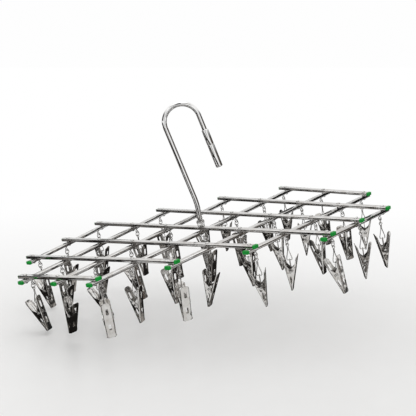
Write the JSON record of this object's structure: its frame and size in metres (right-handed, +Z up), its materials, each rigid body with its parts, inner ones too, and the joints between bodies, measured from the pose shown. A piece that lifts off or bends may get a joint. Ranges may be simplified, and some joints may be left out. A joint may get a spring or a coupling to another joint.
{
  "type": "clip drying hanger",
  "caption": "Folding scissor-lattice drying hanger with a swan-neck hook, green end plugs and a chain-hung steel clip beside every crossing",
  "frame": {"origin": "the seat of the hook, the highest point inside its arch, where the rod or line bears", "axes": "+Z up along the line of hang; +X along the long side of the open lattice, towards the hook's free leg; +Y along the short side"},
  "size_m": [0.5912, 0.3652, 0.3101],
  "materials": {
    "bar_steel": "bright, semi-polished stainless tube",
    "hook_steel": "polished stainless tube",
    "fitting_steel": "bright fasteners and folded bracket",
    "clip_steel": "polished pressed sheet and wire",
    "green_plastic": "moulded green plastic"
  },
  "bodies": {
    "hook": {"hook_tube": "hook_steel", "hook_end_sleeve": "hook_steel", "hook_end_cap": "hook_steel", "hook_pin": "fitting_steel"},
    "bracket": {"hook_bracket": "fitting_steel"},
    "upper_bar_1_body": {"upper_bar_1": "bar_steel", "upper_plugs_1": "green_plastic"},
    "lower_bar_1_body": {"lower_bar_1": "bar_steel", "lower_plugs_1": "green_plastic", "rivets_1": "fitting_steel"},
    "clip_row_1": {"clip_links_1": "clip_steel", "clips_1": "clip_steel"},
    "upper_bar_2_body": {"upper_bar_2": "bar_steel", "upper_plugs_2": "green_plastic"},
    "lower_bar_2_body": {"lower_bar_2": "bar_steel", "lower_plugs_2": "green_plastic", "rivets_2": "fitting_steel"},
    "clip_row_2": {"clip_links_2": "clip_steel", "clips_2": "clip_steel"},
    "upper_bar_3_body": {"upper_bar_3": "bar_steel", "upper_plugs_3": "green_plastic"},
    "lower_bar_3_body": {"lower_bar_3": "bar_steel", "lower_plugs_3": "green_plastic", "rivets_3": "fitting_steel"},
    "clip_row_3": {"clip_links_3": "clip_steel", "clips_3": "clip_steel"},
    "upper_bar_4_body": {"upper_bar_4": "bar_steel", "upper_plugs_4": "green_plastic"},
    "lower_bar_4_body": {"lower_bar_4": "bar_steel", "lower_plugs_4": "green_plastic", "rivets_4": "fitting_steel"},
    "clip_row_4": {"clip_links_4": "clip_steel", "clips_4": "clip_steel"},
    "upper_bar_5_body": {"upper_bar_5": "bar_steel", "upper_plugs_5": "green_plastic"},
    "lower_bar_5_body": {"lower_bar_5": "bar_steel", "lower_plugs_5": "green_plastic", "rivets_5": "fitting_steel"},
    "clip_row_5": {"clip_links_5": "clip_steel", "clips_5": "clip_steel"},
    "upper_bar_6_body": {"upper_bar_6": "bar_steel", "upper_plugs_6": "green_plastic"},
    "lower_bar_6_body": {"lower_bar_6": "bar_steel", "lower_plugs_6": "green_plastic", "rivets_6": "fitting_steel"},
    "clip_row_6": {"clip_links_6": "clip_steel", "clips_6": "clip_steel"},
    "upper_bar_7_body": {"upper_bar_7": "bar_steel", "upper_plugs_7": "green_plastic"},
    "lower_bar_7_body": {"lower_bar_7": "bar_steel", "lower_plugs_7": "green_plastic", "rivets_7": "fitting_steel"},
    "clip_row_7": {"clip_links_7": "clip_steel", "clips_7": "clip_steel"},
    "lone_chain": {"lone_clip_chain": "clip_steel"},
    "lone_core": {"lone_clip_core": "clip_steel"},
    "lone_front_jaw": {"lone_clip_front_jaw": "clip_steel"},
    "lone_back_jaw": {"lone_clip_back_jaw": "clip_steel"}
  },
  "joints": [
    {"name": "hook_fold", "type": "hinge", "parent": "hook", "child": "bracket", "pos_m": [0, 0, -0.188], "axis": [1, 0, 0], "range_deg": [-75, 75]},
    {"name": "lattice_fold", "type": "hinge", "parent": "bracket", "child": "upper_bar_4_body", "pos_m": [0, 0, -0.202], "axis": [0, 0, 1], "range_deg": [0, 30]},
    {"name": "middle_lower_bar_fold", "type": "hinge", "parent": "bracket", "child": "lower_bar_4_body", "pos_m": [0, 0, -0.202], "axis": [0, 0, 1], "range_deg": [-30, 0]},
    {"name": "lower_bar_1_fold", "type": "hinge", "parent": "upper_bar_4_body", "child": "lower_bar_1_body", "pos_m": [-0.16971, 0.16971, -0.202], "axis": [0, 0, 1], "range_deg": [-60, 0]},
    {"name": "upper_bar_1_fold", "type": "hinge", "parent": "lower_bar_4_body", "child": "upper_bar_1_body", "pos_m": [-0.16971, -0.16971, -0.202], "axis": [0, 0, 1], "range_deg": [0, 60]},
    {"name": "lower_bar_2_fold", "type": "hinge", "parent": "upper_bar_4_body", "child": "lower_bar_2_body", "pos_m": [-0.11314, 0.11314, -0.202], "axis": [0, 0, 1], "range_deg": [-60, 0]},
    {"name": "upper_bar_2_fold", "type": "hinge", "parent": "lower_bar_4_body", "child": "upper_bar_2_body", "pos_m": [-0.11314, -0.11314, -0.202], "axis": [0, 0, 1], "range_deg": [0, 60]},
    {"name": "lower_bar_3_fold", "type": "hinge", "parent": "upper_bar_4_body", "child": "lower_bar_3_body", "pos_m": [-0.05657, 0.05657, -0.202], "axis": [0, 0, 1], "range_deg": [-60, 0]},
    {"name": "upper_bar_3_fold", "type": "hinge", "parent": "lower_bar_4_body", "child": "upper_bar_3_body", "pos_m": [-0.05657, -0.05657, -0.202], "axis": [0, 0, 1], "range_deg": [0, 60]},
    {"name": "lower_bar_5_fold", "type": "hinge", "parent": "upper_bar_4_body", "child": "lower_bar_5_body", "pos_m": [0.05657, -0.05657, -0.202], "axis": [0, 0, 1], "range_deg": [-60, 0]},
    {"name": "upper_bar_5_fold", "type": "hinge", "parent": "lower_bar_4_body", "child": "upper_bar_5_body", "pos_m": [0.05657, 0.05657, -0.202], "axis": [0, 0, 1], "range_deg": [0, 60]},
    {"name": "lower_bar_6_fold", "type": "hinge", "parent": "upper_bar_4_body", "child": "lower_bar_6_body", "pos_m": [0.11314, -0.11314, -0.202], "axis": [0, 0, 1], "range_deg": [-60, 0]},
    {"name": "upper_bar_6_fold", "type": "hinge", "parent": "lower_bar_4_body", "child": "upper_bar_6_body", "pos_m": [0.11314, 0.11314, -0.202], "axis": [0, 0, 1], "range_deg": [0, 60]},
    {"name": "lower_bar_7_fold", "type": "hinge", "parent": "upper_bar_4_body", "child": "lower_bar_7_body", "pos_m": [0.16971, -0.16971, -0.202], "axis": [0, 0, 1], "range_deg": [-60, 0]},
    {"name": "upper_bar_7_fold", "type": "hinge", "parent": "lower_bar_4_body", "child": "upper_bar_7_body", "pos_m": [0.16971, 0.16971, -0.202], "axis": [0, 0, 1], "range_deg": [0, 60]},
    {"name": "clip_row_1_swing", "type": "hinge", "parent": "lower_bar_1_body", "child": "clip_row_1", "pos_m": [-0.16971, 0.16971, -0.2137], "axis": [0.7061, 0.7061, 0.0543], "range_deg": [-25, 25]},
    {"name": "clip_row_2_swing", "type": "hinge", "parent": "lower_bar_2_body", "child": "clip_row_2", "pos_m": [-0.11314, 0.11314, -0.2137], "axis": [0.7066, 0.7066, 0.0362], "range_deg": [-25, 25]},
    {"name": "clip_row_3_swing", "type": "hinge", "parent": "lower_bar_3_body", "child": "clip_row_3", "pos_m": [-0.05657, 0.05657, -0.2137], "axis": [0.707, 0.707, 0.0181], "range_deg": [-25, 25]},
    {"name": "clip_row_4_swing", "type": "hinge", "parent": "lower_bar_4_body", "child": "clip_row_4", "pos_m": [0, 0, -0.2137], "axis": [0.7071, 0.7071, 0], "range_deg": [-25, 25]},
    {"name": "clip_row_5_swing", "type": "hinge", "parent": "lower_bar_5_body", "child": "clip_row_5", "pos_m": [0.05657, -0.05657, -0.2137], "axis": [0.707, 0.707, -0.0181], "range_deg": [-25, 25]},
    {"name": "clip_row_6_swing", "type": "hinge", "parent": "lower_bar_6_body", "child": "clip_row_6", "pos_m": [0.11314, -0.11314, -0.2137], "axis": [0.7066, 0.7066, -0.0362], "range_deg": [-25, 25]},
    {"name": "clip_row_7_swing", "type": "hinge", "parent": "lower_bar_7_body", "child": "clip_row_7", "pos_m": [0.16971, -0.16971, -0.2137], "axis": [0.7061, 0.7061, -0.0543], "range_deg": [-25, 25]},
    {"name": "lone_clip_swing", "type": "hinge", "parent": "lower_bar_7_body", "child": "lone_chain", "pos_m": [0.27506, -0.06435, -0.2218], "axis": [0.7061, 0.7061, -0.0543], "range_deg": [-25, 25]},
    {"name": "lone_clip_rock", "type": "hinge", "parent": "lone_chain", "child": "lone_core", "pos_m": [0.27506, -0.06435, -0.2666], "axis": [0, 1, 0], "range_deg": [-5, 5]},
    {"name": "lone_front_jaw_open", "type": "hinge", "parent": "lone_core", "child": "lone_front_jaw", "pos_m": [0.27506, -0.06435, -0.2718], "axis": [0, 1, 0], "range_deg": [0, 12]},
    {"name": "lone_back_jaw_open", "type": "hinge", "parent": "lone_core", "child": "lone_back_jaw", "pos_m": [0.27506, -0.06435, -0.2718], "axis": [0, 1, 0], "range_deg": [-12, 0]}
  ],
  "couplings": [
    {"joint": "middle_lower_bar_fold", "follows": "lattice_fold", "ratio": -1},
    {"joint": "lower_bar_1_fold", "follows": "lattice_fold", "ratio": -2},
    {"joint": "upper_bar_1_fold", "follows": "lattice_fold", "ratio": 2},
    {"joint": "lower_bar_2_fold", "follows": "lattice_fold", "ratio": -2},
    {"joint": "upper_bar_2_fold", "follows": "lattice_fold", "ratio": 2},
    {"joint": "lower_bar_3_fold", "follows": "lattice_fold", "ratio": -2},
    {"joint": "upper_bar_3_fold", "follows": "lattice_fold", "ratio": 2},
    {"joint": "lower_bar_5_fold", "follows": "lattice_fold", "ratio": -2},
    {"joint": "upper_bar_5_fold", "follows": "lattice_fold", "ratio": 2},
    {"joint": "lower_bar_6_fold", "follows": "lattice_fold", "ratio": -2},
    {"joint": "upper_bar_6_fold", "follows": "lattice_fold", "ratio": 2},
    {"joint": "lower_bar_7_fold", "follows": "lattice_fold", "ratio": -2},
    {"joint": "upper_bar_7_fold", "follows": "lattice_fold", "ratio": 2},
    {"joint": "lone_back_jaw_open", "follows": "lone_front_jaw_open", "ratio": -1}
  ]
}
